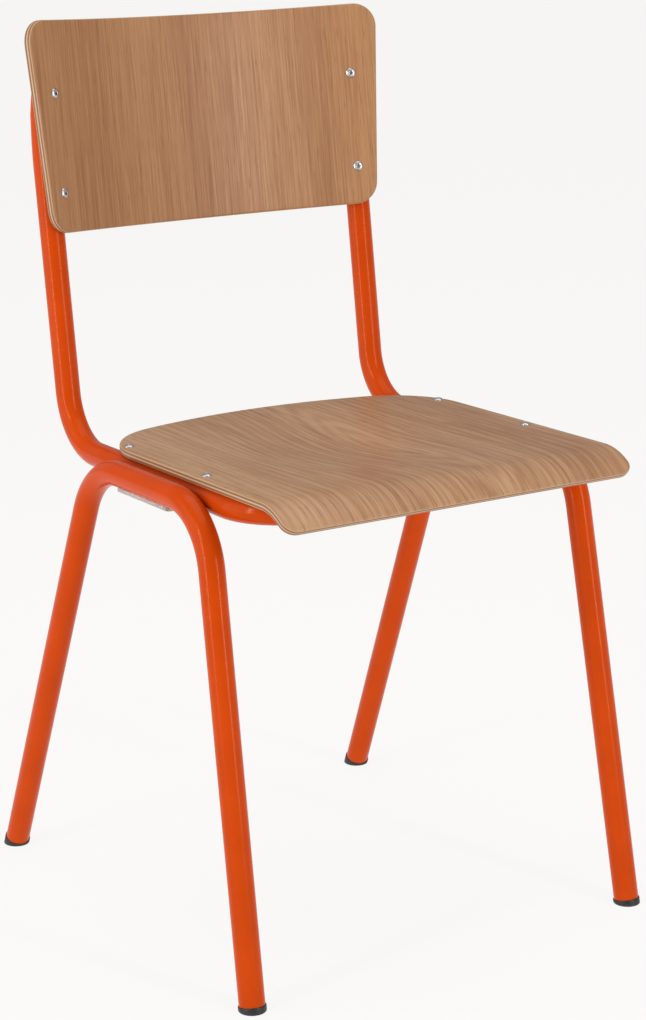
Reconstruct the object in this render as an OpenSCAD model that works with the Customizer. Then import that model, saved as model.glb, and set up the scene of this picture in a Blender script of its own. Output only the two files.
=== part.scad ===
// Stacking chair: one bent tube carries the plywood seat and backrest, and a bent
// leg frame is welded along each side of it. Front is -Y, left is -X, floor at Z = 0.

/* [Overall] */
// Height of the seat's top face above the floor
seat_height = 421.5; // [390:0.5:480]
// Distance from the seat's front edge back to the uprights, at the height of the rails
upright_setback = 385; // [350:1:430]
// Backward lean of the uprights and the backrest, in degrees
back_lean = 6.7; // [3:0.1:12]

/* [Tube] */
// Outer diameter of the steel tube
tube_d = 22; // [20:0.5:25]
// Wall of the steel tube
tube_wall = 1.5; // [1:0.1:2.5]
// Centreline radius of the bends of the main frame
frame_bend_r = 54; // [45:1:60]
// Distance from the start of the seat's front roll back to the cross run of the main frame
cross_run_inset = 16.5; // [0:0.5:30]
// Distance from the seat's side edge in to the centreline of the rails and uprights
rail_inset = 9.5; // [5:0.5:25]
// Length over which the upper ends of the uprights are pressed flat
flat_length = 72; // [60:1:90]
// Thickness of the pressed tube at the very end
flat_end_t = 5; // [4:0.5:8]

/* [Leg frames] */
// Distance from the seat's front edge back to the front knee of a leg frame
front_knee_setback = 104; // [85:0.5:115]
// Distance between the front knee and the rear knee of a leg frame
knee_gap = 194.5; // [190:0.5:240]
// Forward slope of the front legs from upright, in degrees
front_leg_angle = 9.6; // [6:0.1:14]
// Backward slope of the rear legs from upright, in degrees
rear_leg_angle = 24.4; // [18:0.1:28]
// Sideways splay of the leg frames, in degrees
splay = 1.5; // [0:0.1:4]
// Centreline radius of the front knee
front_knee_r = 60; // [50:1:70]
// Centreline radius of the rear knee
rear_knee_r = 72; // [60:1:80]
// Height of the leg frame's top run above the rail it is welded to
leg_rise = 1.5; // [0:0.1:3]
// Gap between the tubes that are welded side by side
weld_gap = 0.2; // [0.1:0.05:0.5]
// Length of each weld bead
weld_length = 26; // [15:1:35]

/* [Plywood] */
// Thickness of the plywood
ply_t = 7.5; // [6:0.5:12]
// Width of the seat
seat_width = 340; // [320:1:410]
// Depth of the seat from its front edge to the middle of its rear edge
seat_depth = 348; // [330:0.5:420]
// Radius of the rear edge, seen from above
seat_rear_r = 415; // [260:5:600]
// Radius of the rear corners, seen from above
seat_rear_corner_r = 78; // [60:1:110]
// Radius of the front corners
seat_front_corner_r = 12.5; // [8:0.5:30]
// Radius of the top face where the front edge rolls down
waterfall_r = 53.5; // [50:0.5:90]
// Angle through which the front edge rolls down, in degrees
waterfall_angle = 48; // [35:1:60]
// Depth of the hollow in the middle of the seat
dish_depth = 9; // [0:0.5:14]
// Height of the backrest, measured along its lean
back_height = 185; // [150:0.5:240]
// Reach of the backrest's top edge past the centreline of each upright, measured across
back_top_overhang = 20; // [17:0.5:50]
// Reach of the backrest's bottom edge past the centreline of each upright, measured across
back_bottom_overhang = 8.5; // [5:0.5:40]
// Height of the backrest's bottom edge above the floor
back_bottom_height = 590; // [560:0.5:700]
// Radius of the hollow front face of the backrest
back_radius = 380; // [350:5:700]
// Radius of the corners of the backrest
back_corner_r = 21; // [10:1:40]
// Clearance between the seat's underside and the rails
seat_gap = 0.1; // [0.05:0.05:0.5]
// Clearance between the backrest and the uprights
back_gap = 0.1; // [0.05:0.05:0.5]

/* [Rivets] */
// Diameter of the rivet shank
rivet_d = 4.8; // [4:0.2:6.4]
// Diameter of the rivet head
rivet_head_d = 9.4; // [8:0.2:12]
// Height of the rivet head
rivet_head_t = 1.5; // [1:0.1:2.5]
// Diameter of the broken stem inside a rivet
stem_d = 2.6; // [2:0.1:3.2]
// Radial clearance round each rivet shank
rivet_clearance = 0.1; // [0.05:0.05:0.4]
// Distance from the seat's front edge back to the front pair of seat rivets
front_rivet_setback = 141.5; // [110:0.5:160]
// Distance between the front and the rear seat rivets
seat_rivet_gap = 135; // [100:1:200]
// Distance from the backrest's bottom edge up to the lower rivets
low_rivet_up = 35; // [20:0.5:50]
// Distance between the lower and the upper backrest rivets
back_rivet_gap = 86.5; // [60:0.5:120]
// Distance from the upper backrest rivets up to the ends of the uprights
upright_end_up = 13; // [10:0.5:20]

/* [Foot caps and pads] */
// Diameter of the rim of a foot cap
cap_d = 23.6; // [23:0.1:27]
// Least height of a foot cap below the tube
cap_min = 2.4; // [1.5:0.1:5]
// Length of the plug inside the tube
plug_length = 24; // [15:1:40]
// Radial clearance between the plug and the tube's bore
plug_clearance = 0.4; // [0.2:0.05:0.8]
// Length of the stacking pad under a leg frame
pad_length = 85; // [60:1:96]
// Width of the stacking pad
pad_width = 12; // [8:0.5:16]
// Thickness of the stacking pad under the tube
pad_t = 1.8; // [1.2:0.1:4]
// Diameter of the pins that hold a stacking pad
pad_pin_d = 4; // [3:0.1:6]

/* [Hidden] */

left = -1;
right = 1;
front = -1;
rear = 1;
$fn = 64;

steel_color = "orangered";
wood_color = "burlywood";
rivet_color = "silver";
cap_color = "#202020";
pad_color = "whitesmoke";

// Each bend's wall is thicker by the swell on both faces, so that a straight run can end inside it
bend_swell = 0.1;
bend_lap = 1;

tube_r = tube_d / 2;
bore_r = tube_r - tube_wall;
bend_tube_r = tube_r + bend_swell;
rail_x = seat_width / 2 - rail_inset;
rail_z = seat_height - ply_t - seat_gap - bend_tube_r;

// The leg frame's top run lies beside the rail, a weld gap away from it
leg_x = rail_x + sqrt(pow(tube_d + weld_gap, 2) - pow(leg_rise, 2));
leg_z = rail_z + leg_rise;
leg_drop = leg_z / cos(splay);

// Reach of a sloping leg's rim on the floor, beyond its axis
rear_axis_x = cos(rear_leg_angle) * sin(splay);
rear_axis_z = cos(rear_leg_angle) * cos(splay);
rear_foot_reach = cap_d / 2 * sqrt(1 - rear_axis_x * rear_axis_x) / rear_axis_z;
overall_depth = front_knee_setback + knee_gap + leg_drop * tan(rear_leg_angle) + rear_foot_reach;

// The origin is at the middle of the floor area, so the front edge is half the depth ahead of it
front_y = -overall_depth / 2;
waterfall_y = front_y + waterfall_r * sin(waterfall_angle);
cross_run_y = waterfall_y + cross_run_inset;
upright_rail_y = front_y + upright_setback;
upright_floor_y = upright_rail_y - rail_z * tan(back_lean);
front_knee_y = front_y + front_knee_setback;
rear_knee_y = front_knee_y + knee_gap;

// Heights along the lean, from the floor
back_bottom_h = back_bottom_height / cos(back_lean);
low_rivet_h = back_bottom_h + low_rivet_up;
high_rivet_h = low_rivet_h + back_rivet_gap;
upright_end_h = high_rivet_h + upright_end_up;
flat_start_h = upright_end_h - flat_length;

// The backrest's rear face touches the uprights, so its axis follows from its radius
back_rear_r = back_radius + ply_t;
back_reach = back_rear_r + back_gap + bend_tube_r;
back_axis_y = -sqrt(back_reach * back_reach - rail_x * rail_x);
back_turn = asin(rail_x / back_reach);

// Seat outline
half_seat = seat_width / 2;
waterfall_length = waterfall_r * waterfall_angle * PI / 180;
seat_rear_y = front_y + seat_depth;
rear_arc_y = seat_rear_y - seat_rear_r;
rear_corner_x = half_seat - seat_rear_corner_r;
rear_corner_y = rear_arc_y + sqrt(pow(seat_rear_r - seat_rear_corner_r, 2) - pow(rear_corner_x, 2));
rear_tangent_x = rear_corner_x * seat_rear_r / (seat_rear_r - seat_rear_corner_r);
front_corner_x = half_seat - seat_front_corner_r;
dish_half_width = rail_x - tube_r;
dish_half_length = (seat_rear_y - waterfall_y) / 2;
dish_y = seat_rear_y - dish_half_length;
seat_columns = 26;
flat_rows = 16;
roll_rows = 8;

front_rivet_y = front_y + front_rivet_setback;
rear_rivet_y = front_rivet_y + seat_rivet_gap;
rivet_hole_r = rivet_d / 2 + rivet_clearance;

// The tube is pressed a little at first, and then flat
mid_pressed_t = 0.77 * tube_d;
mid_pressed_z = 0.6 * flat_length;
slice_t = 0.1;

// The stacking pads lie in the middle of the straight top runs, between their two knees
pad_pin_inset = 5;
pad_pin_offset = pad_length / 2 - pad_pin_inset;
front_run_y = front_knee_y + front_knee_r * tan((90 - front_leg_angle) / 2);
rear_run_y = rear_knee_y - rear_knee_r * tan((90 - rear_leg_angle) / 2);
pad_y = (front_run_y + rear_run_y) / 2;
lug_extra_t = 1;
pin_reach = 2;

// Beads in the grooves reach from weld_low to weld_high above and below the axes
weld_low = 4;
weld_high = 6.5;
weld_inset = 8;
rear_weld_y = pad_y + pad_length / 2 - weld_inset;
front_weld_y = pad_y - pad_length / 2 + weld_inset + weld_length;

cup_wall = 2;
cup_floor = 4;
plug_lap = 1;

seat_grip = bend_tube_r + seat_gap + ply_t;
back_grip = bend_tube_r + back_gap + ply_t;
stem_r = stem_d / 2;
rivet_rim_t = 0.4;
bulb_growth = 0.8;
bulb_length = 5;
bulb_taper = 1;
stem_recess = 0.4;
ball_length = 2;
ball_edge = 0.6;

// The curve of the bore keeps a bulb this far below the bore's crown
bulb_clearance = 0.1;
bulb_drop = bore_r - sqrt(bore_r * bore_r - pow(rivet_d / 2 + bulb_growth, 2)) + bulb_clearance;
round_bulb_z = bore_r - bulb_drop;

// At the upper rivets the tube is pressed, so the bulb sits behind its rear face, clear of its slope
press_slope = (mid_pressed_t - flat_end_t) / (flat_length - mid_pressed_z);
pressed_bulb_clearance = press_slope * rivet_d / 2 + bulb_clearance;
high_share = (flat_length - upright_end_up - mid_pressed_z) / (flat_length - mid_pressed_z);
high_tube_t = mid_pressed_t + (flat_end_t - mid_pressed_t) * high_share;
pressed_bulb_z = tube_r - high_tube_t - pressed_bulb_clearance;

// ---- tube runs ----

module tube_ring(swell) {
    difference() {
        circle(r = tube_r + swell);
        circle(r = bore_r - swell);
    }
}

// Straight tube along Z, run on past its ends by lap_low and lap_high
module straight_tube(length, lap_low, lap_high) {
    translate([0, 0, -lap_low]) linear_extrude(length + lap_low + lap_high) tube_ring(0);
}

// Straight tube from p to q in the XY plane
module straight_run(p, q, lap_p, lap_q) {
    translate([p.x, p.y, 0])
        rotate([0, 0, heading(p, q)])
            rotate([90, 0, 90]) straight_tube(norm(q - p), lap_p, lap_q);
}

// Elbow about the Z axis, from the X axis on through the angle
module elbow(r, angle) {
    rotate_extrude(angle = angle) translate([r, 0]) tube_ring(bend_swell);
}

function unit(v) = v / norm(v);
function heading(p, q) = atan2(q.y - p.y, q.x - p.x);
function wrap(a) = a > 180 ? a - 360 : a < -180 ? a + 360 : a;
function turn_at(pts, i) = wrap(heading(pts[i], pts[i + 1]) - heading(pts[i - 1], pts[i]));
function bend_trim(pts, i, r) = r * tan(abs(turn_at(pts, i)) / 2);
function bend_start(pts, i, r) = pts[i] - bend_trim(pts, i, r) * unit(pts[i] - pts[i - 1]);
function bend_end(pts, i, r) = pts[i] + bend_trim(pts, i, r) * unit(pts[i + 1] - pts[i]);

// Bend of the tube at point i of a path in the XY plane
module bend(pts, i, r) {
    turn = turn_at(pts, i);
    start = bend_start(pts, i, r);
    away = heading(pts[i - 1], pts[i]) + (turn > 0 ? 90 : -90);
    from = away + 180 + min(0, turn);
    translate([start.x + r * cos(away), start.y + r * sin(away), 0])
        rotate([0, 0, from]) elbow(r, abs(turn));
}

// Bent tube along a path in the XY plane, with one radius for each inner point. Its
// ends run on by end_lap where they join another stretch of tube.
module bent_tube(pts, radii, end_lap) {
    last = len(pts) - 1;
    for (i = [1 : last - 1]) bend(pts, i, radii[i - 1]);
    for (i = [0 : last - 1]) {
        p = i == 0 ? pts[0] : bend_end(pts, i, radii[i - 1]);
        q = i == last - 1 ? pts[last] : bend_start(pts, i + 1, radii[i]);
        straight_run(p, q, i == 0 ? end_lap : bend_lap, i == last - 1 ? end_lap : bend_lap);
    }
}

// Turns a path drawn in the XY plane into the YZ plane
module side_plane() {
    rotate([90, 0, 90]) children();
}

module one_side(side) {
    mirror([side == left ? 1 : 0, 0, 0]) children();
}

// ---- places ----

// Frame of the backrest: Z runs up the lean and Y points backward
module lean_frame() {
    translate([0, upright_floor_y, 0]) rotate([-back_lean, 0, 0]) children();
}

// On an upright at height h along the lean, with Z pointing at the sitter, square to the backrest
module on_upright(side, h) {
    lean_frame()
        translate([side * rail_x, 0, h])
            rotate([0, 0, -side * back_turn])
                rotate([90, 0, 0]) children();
}

// Plane of the right leg frame, with the axis of the top run as its origin
module leg_plane() {
    translate([leg_x, 0, leg_z]) rotate([0, -splay, 0]) children();
}

// Slope and place of the leg at one end of a leg frame
function leg_angle(end) = end == rear ? rear_leg_angle : front_leg_angle;
function foot_y(end) = end == rear
    ? rear_knee_y + leg_drop * tan(rear_leg_angle)
    : front_knee_y - leg_drop * tan(front_leg_angle);
function leg_tilt(end) = acos(cos(leg_angle(end)) * cos(splay));
function shoulder(end) = cap_d / 2 * tan(leg_tilt(end)) + cap_min / cos(leg_tilt(end));
function tube_end(end) = [
    foot_y(end) - end * shoulder(end) * sin(leg_angle(end)),
    -leg_drop + shoulder(end) * cos(leg_angle(end))];

// Foot of a leg, with Z running up the leg's axis from the floor
module foot_place(side, end) {
    one_side(side)
        leg_plane()
            translate([0, foot_y(end), -leg_drop])
                rotate([end * leg_angle(end), 0, 0]) children();
}

// ---- main frame ----

// Half width of the tube once it is pressed to thickness t, with its girth unchanged
function pressed_half_width(t) = t / 2 + PI * (tube_d - t) / 4;

// Thin slice of pressed tube whose front stays in line with the round tube
module pressed_slice(t, inset) {
    half_width = pressed_half_width(t);
    for (side = [left, right])
        translate([side * (half_width - t / 2), t / 2 - tube_r, 0])
            cylinder(d = t - 2 * inset, h = slice_t, $fn = 32);
}

// Pressed upper end of an upright, from the round tube at z = 0 to its closed end
module pressed_end() {
    difference() {
        hull() {
            cylinder(r = bend_tube_r, h = 2 * bend_lap, $fn = 48);
            translate([0, 0, mid_pressed_z]) pressed_slice(mid_pressed_t, 0);
        }
        hull() {
            translate([0, 0, -slice_t]) cylinder(r = bore_r - 2 * bend_swell, h = 2 * bend_lap, $fn = 48);
            translate([0, 0, mid_pressed_z - tube_wall]) pressed_slice(mid_pressed_t, tube_wall);
        }
    }
    hull() {
        translate([0, 0, mid_pressed_z]) pressed_slice(mid_pressed_t, 0);
        translate([0, 0, flat_length - slice_t]) pressed_slice(flat_end_t, 0);
    }
}

// Upright, lower bend and rail, as far forward as the front bend
module frame_side() {
    lean = [sin(back_lean), cos(back_lean)];
    top = [upright_floor_y, 0] + flat_start_h * lean;
    foot = [upright_rail_y, rail_z];
    split = [cross_run_y + frame_bend_r, rail_z];
    translate([rail_x, 0, 0])
        side_plane() bent_tube([top, foot, split], [frame_bend_r], bend_lap);
    lean_frame()
        translate([rail_x, 0, flat_start_h])
            rotate([0, 0, -back_turn]) pressed_end();
}

// Front of the main frame: a bend on each side and the cross run under the seat
module frame_front() {
    half_run = rail_x - frame_bend_r;
    translate([0, cross_run_y, rail_z]) {
        translate([-half_run, 0, 0]) rotate([90, 0, 90]) straight_tube(2 * half_run, bend_lap, bend_lap);
        for (side = [left, right])
            translate([side * half_run, frame_bend_r, 0])
                rotate([0, 0, side == right ? -90 : 180]) elbow(frame_bend_r, 90);
    }
}

// Bore for a seat rivet through the upper wall of a rail
module seat_rivet_bore() {
    for (side = [left, right], y = [front_rivet_y, rear_rivet_y])
        translate([side * rail_x, y, rail_z]) cylinder(r = rivet_hole_r, h = tube_d);
}

// Bore for a backrest rivet through the front wall of an upright, or both walls where it is pressed
module back_rivet_bore() {
    for (side = [left, right]) {
        on_upright(side, low_rivet_h) cylinder(r = rivet_hole_r, h = tube_d);
        on_upright(side, high_rivet_h) translate([0, 0, -tube_r]) cylinder(r = rivet_hole_r, h = 2 * tube_d);
    }
}

module seat_back_frame() {
    color(steel_color)
    difference() {
        union() {
            frame_front();
            for (side = [left, right]) one_side(side) frame_side();
        }
        seat_rivet_bore();
        back_rivet_bore();
    }
}

// ---- leg frames ----

module leg_frame(side) {
    knees = [[rear_knee_y, 0], [front_knee_y, 0]];
    path = [tube_end(rear), knees[0], knees[1], tube_end(front)];
    color(steel_color)
    one_side(side)
    leg_plane()
    difference() {
        side_plane() bent_tube(path, [rear_knee_r, front_knee_r], 0);
        for (end = [front, rear])
            translate([0, pad_y + end * pad_pin_offset, -tube_r - 1])
                cylinder(r = pad_pin_d / 2 + rivet_clearance, h = tube_r);
    }
}

// Weld beads in the upper and the lower groove between a rail and a leg frame
module groove_section(up) {
    pinch = [leg_x - rail_x, leg_rise];
    difference() {
        translate([0, up > 0 ? weld_low : -weld_high]) square([pinch.x, weld_high - weld_low]);
        circle(r = tube_r);
        translate(pinch) circle(r = tube_r);
    }
}

module frame_weld(side, end) {
    y = end == rear ? rear_weld_y : front_weld_y;
    color(steel_color)
    one_side(side)
    for (up = [1, -1])
        translate([rail_x, y, rail_z])
            rotate([90, 0, 0]) linear_extrude(weld_length) groove_section(up);
}

// ---- foot caps ----

module cap_body(end) {
    top = shoulder(end);
    plug_r = bore_r - plug_clearance;
    translate([0, 0, -cap_d]) cylinder(d = cap_d, h = cap_d + top);
    difference() {
        translate([0, 0, top - plug_lap]) cylinder(r = plug_r, h = plug_length + plug_lap);
        translate([0, 0, top + cup_floor]) cylinder(r = plug_r - cup_wall, h = plug_length);
    }
}

module foot_cap(side, end) {
    color(cap_color)
    intersection() {
        foot_place(side, end) cap_body(end);
        translate([-overall_depth, -overall_depth, 0]) cube([2 * overall_depth, 2 * overall_depth, rail_z]);
    }
}

// ---- stacking pads ----

module stacking_pad(side) {
    lug_length = 2 * pad_pin_inset;
    lug_t = pad_t + lug_extra_t;
    seat_z = -sqrt(tube_r * tube_r - pad_width * pad_width / 4);
    color(pad_color)
    one_side(side)
    leg_plane()
    translate([0, pad_y, 0]) {
        difference() {
            union() {
                translate([-pad_width / 2, -pad_length / 2, -tube_r - pad_t])
                    cube([pad_width, pad_length, seat_z + tube_r + pad_t]);
                for (end = [front, rear])
                    translate([-pad_width / 3, end * pad_pin_offset - lug_length / 2, -tube_r - lug_t])
                        cube([pad_width * 2 / 3, lug_length, lug_t]);
            }
            translate([0, pad_length, 0]) rotate([90, 0, 0]) cylinder(r = tube_r, h = 2 * pad_length);
        }
        for (end = [front, rear])
            translate([0, end * pad_pin_offset, -tube_r - pad_t])
                cylinder(d = pad_pin_d, h = pad_t + tube_wall + pin_reach);
    }
}

// ---- seat ----

function rear_edge_y(x) = abs(x) < rear_tangent_x
    ? rear_arc_y + sqrt(seat_rear_r * seat_rear_r - x * x)
    : rear_corner_y + sqrt(max(0, pow(seat_rear_corner_r, 2) - pow(abs(x) - rear_corner_x, 2)));
function front_trim(x) = abs(x) < front_corner_x
    ? 0
    : seat_front_corner_r - sqrt(max(0, pow(seat_front_corner_r, 2) - pow(abs(x) - front_corner_x, 2)));

// Smooth bump from 1 at v = 0 to nothing at v = -1 and v = 1
function bump(v) = abs(v) < 1 ? pow(cos(90 * v), 2) : 0;
function dish(x, y) = dish_depth * bump(x / dish_half_width) * bump((y - dish_y) / dish_half_length);

// Point of the seat, at depth t below its top face: flat and dished, then rolled down in front
function flat_point(x, y, t) = [x, y, seat_height - t - dish(x, y)];
function rolled_point(x, a, t) = [
    x,
    waterfall_y - (waterfall_r - t) * sin(a),
    seat_height - waterfall_r + (waterfall_r - t) * cos(a)];
function roll_end(x) = waterfall_angle * (1 - front_trim(x) / waterfall_length);
function seat_point(x, row, t) = row <= flat_rows
    ? flat_point(x, rear_edge_y(x) + (waterfall_y - rear_edge_y(x)) * row / flat_rows, t)
    : rolled_point(x, roll_end(x) * (row - flat_rows) / roll_rows, t);

module seat_shell() {
    rows = flat_rows + roll_rows;
    wide = seat_columns + 1;
    count = (rows + 1) * wide;
    column_x = [for (j = [0 : seat_columns]) half_seat * sin(90 * (2 * j / seat_columns - 1))];
    top = [for (i = [0 : rows], x = column_x) seat_point(x, i, 0)];
    low = [for (i = [0 : rows], x = column_x) seat_point(x, i, ply_t)];
    cells = [for (i = [0 : rows - 1], j = [0 : seat_columns - 1]) i * wide + j];
    rear_row = [for (j = [0 : seat_columns]) j];
    left_row = [for (i = [0 : rows]) i * wide];
    rim_back = [for (j = [0 : seat_columns - 1]) [j, j + 1]];
    rim_right = [for (i = [0 : rows - 1]) [i * wide + seat_columns, (i + 1) * wide + seat_columns]];
    rim_front = [for (j = [seat_columns : -1 : 1]) [rows * wide + j, rows * wide + j - 1]];
    rim_left = [for (i = [rows : -1 : 1]) [i * wide, (i - 1) * wide]];
    rim = concat(rim_back, rim_right, rim_front, rim_left);
    faces = concat(
        [for (k = cells) [k, k + 1, k + wide]],
        [for (k = cells) [k + 1, k + wide + 1, k + wide]],
        [for (k = cells) [count + k, count + k + wide, count + k + 1]],
        [for (k = cells) [count + k + 1, count + k + wide, count + k + wide + 1]],
        [for (e = rim) [e[0], count + e[0], e[1]]],
        [for (e = rim) [e[1], count + e[0], count + e[1]]]);
    polyhedron(points = concat(top, low), faces = faces);
}

module seat_panel() {
    color(wood_color)
    difference() {
        seat_shell();
        for (side = [left, right], y = [front_rivet_y, rear_rivet_y])
            translate([side * rail_x, y, rail_z]) cylinder(r = rivet_hole_r, h = 2 * tube_d);
    }
}

// ---- backrest ----

// Outline of the backrest across and up its lean, with round corners
module back_outline() {
    slope = atan2(back_top_overhang - back_bottom_overhang, back_height);
    half_bottom = rail_x + back_bottom_overhang;
    low = back_corner_r;
    high = back_height - back_corner_r;
    half_low = half_bottom - back_corner_r / cos(slope) + low * tan(slope);
    half_high = half_bottom - back_corner_r / cos(slope) + high * tan(slope);
    side = back_corner_r * [cos(slope), -sin(slope)];
    corners = [[half_low, low], [half_high, high]];
    right_side = [[half_low, 0], corners[0] + side, corners[1] + side, [half_high, back_height]];
    left_side = [for (i = [3 : -1 : 0]) [-right_side[i].x, right_side[i].y]];
    polygon(concat(right_side, left_side));
    for (c = corners, s = [left, right]) translate([s * c.x, c.y]) circle(r = back_corner_r);
}

module backrest_panel() {
    color(wood_color)
    difference() {
        lean_frame()
            intersection() {
                translate([0, tube_d, back_bottom_h])
                    rotate([90, 0, 0]) linear_extrude(back_radius) back_outline();
                translate([0, back_axis_y, back_bottom_h - tube_d])
                    difference() {
                        cylinder(r = back_rear_r, h = back_height + 2 * tube_d, $fn = 256);
                        translate([0, 0, -1])
                            cylinder(r = back_radius, h = back_height + 2 * tube_d + 2, $fn = 256);
                    }
            }
        for (side = [left, right], h = [low_rivet_h, high_rivet_h])
            on_upright(side, h) cylinder(r = rivet_hole_r, h = 2 * tube_d);
    }
}

// ---- rivets ----

// Blind rivet with its head's underside at z = grip, and a bulb below bulb_z
module blind_rivet(grip, bulb_z) {
    shank_r = rivet_d / 2;
    head_r = rivet_head_d / 2;
    bulb_r = shank_r + bulb_growth;
    low = bulb_z - bulb_length;
    color(rivet_color)
    rotate_extrude()
    polygon([
        [stem_r, low], [shank_r, low], [bulb_r, low + bulb_taper],
        [bulb_r, bulb_z - bulb_taper], [shank_r, bulb_z],
        [shank_r, grip], [head_r, grip], [head_r, grip + rivet_rim_t],
        [0.8 * head_r, grip + 0.8 * rivet_head_t], [0.5 * head_r, grip + rivet_head_t],
        [stem_r, grip + rivet_head_t]]);
}

// What is left of the rivet's pull stem: a shank in the bore and a wider ball below the bulb
module rivet_stem(grip, bulb_z) {
    ball_r = rivet_d / 2;
    high = bulb_z - bulb_length;
    low = high - ball_length;
    color(rivet_color)
    rotate_extrude()
    polygon([
        [0, low], [ball_r - ball_edge, low], [ball_r, low + ball_edge],
        [ball_r, high], [stem_r, high], [stem_r, grip - stem_recess], [0, grip - stem_recess]]);
}

module seat_rivet_place(side, y) {
    translate([side * rail_x, y, rail_z]) children();
}

module seat_rivet(side, y) {
    seat_rivet_place(side, y) blind_rivet(seat_grip, round_bulb_z);
}

module seat_stem(side, y) {
    seat_rivet_place(side, y) rivet_stem(seat_grip, round_bulb_z);
}

module back_rivet(side, h) {
    bulb_z = h == high_rivet_h ? pressed_bulb_z : round_bulb_z;
    on_upright(side, h) blind_rivet(back_grip, bulb_z);
}

module back_stem(side, h) {
    bulb_z = h == high_rivet_h ? pressed_bulb_z : round_bulb_z;
    on_upright(side, h) rivet_stem(back_grip, bulb_z);
}

// ---- nodes ----

seat_back_frame();
leg_frame(left);  // left_leg_frame
leg_frame(right);  // right_leg_frame
frame_weld(left, front);  // left_front_weld
frame_weld(left, rear);  // left_rear_weld
frame_weld(right, front);  // right_front_weld
frame_weld(right, rear);  // right_rear_weld
seat_panel();
backrest_panel();
seat_rivet(left, front_rivet_y);  // seat_rivet_front_left
seat_rivet(right, front_rivet_y);  // seat_rivet_front_right
seat_rivet(left, rear_rivet_y);  // seat_rivet_rear_left
seat_rivet(right, rear_rivet_y);  // seat_rivet_rear_right
back_rivet(left, high_rivet_h);  // back_rivet_upper_left
back_rivet(right, high_rivet_h);  // back_rivet_upper_right
back_rivet(left, low_rivet_h);  // back_rivet_lower_left
back_rivet(right, low_rivet_h);  // back_rivet_lower_right
seat_stem(left, front_rivet_y);  // seat_stem_front_left
seat_stem(right, front_rivet_y);  // seat_stem_front_right
seat_stem(left, rear_rivet_y);  // seat_stem_rear_left
seat_stem(right, rear_rivet_y);  // seat_stem_rear_right
back_stem(left, high_rivet_h);  // back_stem_upper_left
back_stem(right, high_rivet_h);  // back_stem_upper_right
back_stem(left, low_rivet_h);  // back_stem_lower_left
back_stem(right, low_rivet_h);  // back_stem_lower_right
foot_cap(left, front);  // front_left_foot_cap
foot_cap(right, front);  // front_right_foot_cap
foot_cap(left, rear);  // rear_left_foot_cap
foot_cap(right, rear);  // rear_right_foot_cap
stacking_pad(left);  // left_stacking_pad
stacking_pad(right);  // right_stacking_pad
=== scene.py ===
import bmesh
import bpy
from math import acos, asin, atan, cos, degrees, pi, radians, sin, sqrt, tan
from mathutils import Matrix, Vector


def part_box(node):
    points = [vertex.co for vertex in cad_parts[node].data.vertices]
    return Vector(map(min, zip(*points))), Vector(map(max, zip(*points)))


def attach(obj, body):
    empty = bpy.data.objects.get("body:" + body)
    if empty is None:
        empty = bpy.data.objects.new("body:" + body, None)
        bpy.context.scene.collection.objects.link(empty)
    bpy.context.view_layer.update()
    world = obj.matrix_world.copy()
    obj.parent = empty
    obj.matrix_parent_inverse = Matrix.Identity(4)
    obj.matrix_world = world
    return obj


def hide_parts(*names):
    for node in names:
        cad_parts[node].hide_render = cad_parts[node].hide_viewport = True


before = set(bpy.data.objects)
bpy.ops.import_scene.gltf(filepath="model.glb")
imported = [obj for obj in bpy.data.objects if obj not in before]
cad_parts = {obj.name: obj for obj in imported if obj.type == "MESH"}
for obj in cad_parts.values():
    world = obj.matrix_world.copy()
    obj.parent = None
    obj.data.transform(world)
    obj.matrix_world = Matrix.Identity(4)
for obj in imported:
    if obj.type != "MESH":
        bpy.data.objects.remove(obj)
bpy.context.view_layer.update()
print("frame loaded")

sides = {"left": -1, "right": 1}
ends = {"front": -1, "rear": 1}

# Places that the pieces share, from the CAD boxes, in metres
seatLow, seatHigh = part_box("seat_panel")
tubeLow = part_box("seat_back_frame")[0]
chair = {
    "tubeRadius": 0.011,
    "bendGrowth": 0.0001,       # the CAD's bends are this much fatter than its straight runs
    "frontY": seatLow.y,
    "seatTop": seatHigh.z,
    "railX": 0.1605,
    "lean": 6.7,                # of the uprights, in degrees
    "plyThickness": 0.0075,
    "uprightSetback": 0.385,    # from the seat's front to where an upright's axis meets the rail's
}
chair["railZ"] = tubeLow.z + chair["tubeRadius"] + chair["bendGrowth"]
chair["uprightY"] = chair["frontY"] + chair["uprightSetback"]
leanWay = Vector((0, sin(radians(chair["lean"])), cos(radians(chair["lean"]))))
leanFoot = Vector((0, chair["uprightY"] - chair["railZ"] * tan(radians(chair["lean"])), 0))


def clearSelection():
    if bpy.context.object and bpy.context.object.mode != "OBJECT":
        bpy.ops.object.mode_set(mode="OBJECT")
    bpy.ops.object.select_all(action="DESELECT")


def pickOnly(piece):
    clearSelection()
    piece.select_set(True)
    bpy.context.view_layer.objects.active = piece


def namePiece(name):
    piece = bpy.context.object
    piece.name = piece.data.name = name
    return piece


def enterMesh(piece):
    pickOnly(piece)
    bpy.ops.object.mode_set(mode="EDIT")


def leaveMesh():
    bpy.ops.object.mode_set(mode="OBJECT")


def selectPart(piece, kind, test):
    # kind is VERT, EDGE or FACE, and test says which of them to select
    bpy.ops.mesh.select_mode(type=kind)
    bpy.ops.mesh.select_all(action="DESELECT")
    cage = bmesh.from_edit_mesh(piece.data)
    cage.normal_update()
    for part in {"VERT": cage.verts, "EDGE": cage.edges, "FACE": cage.faces}[kind]:
        if test(part):
            part.select_set(True)
    bmesh.update_edit_mesh(piece.data)


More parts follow.
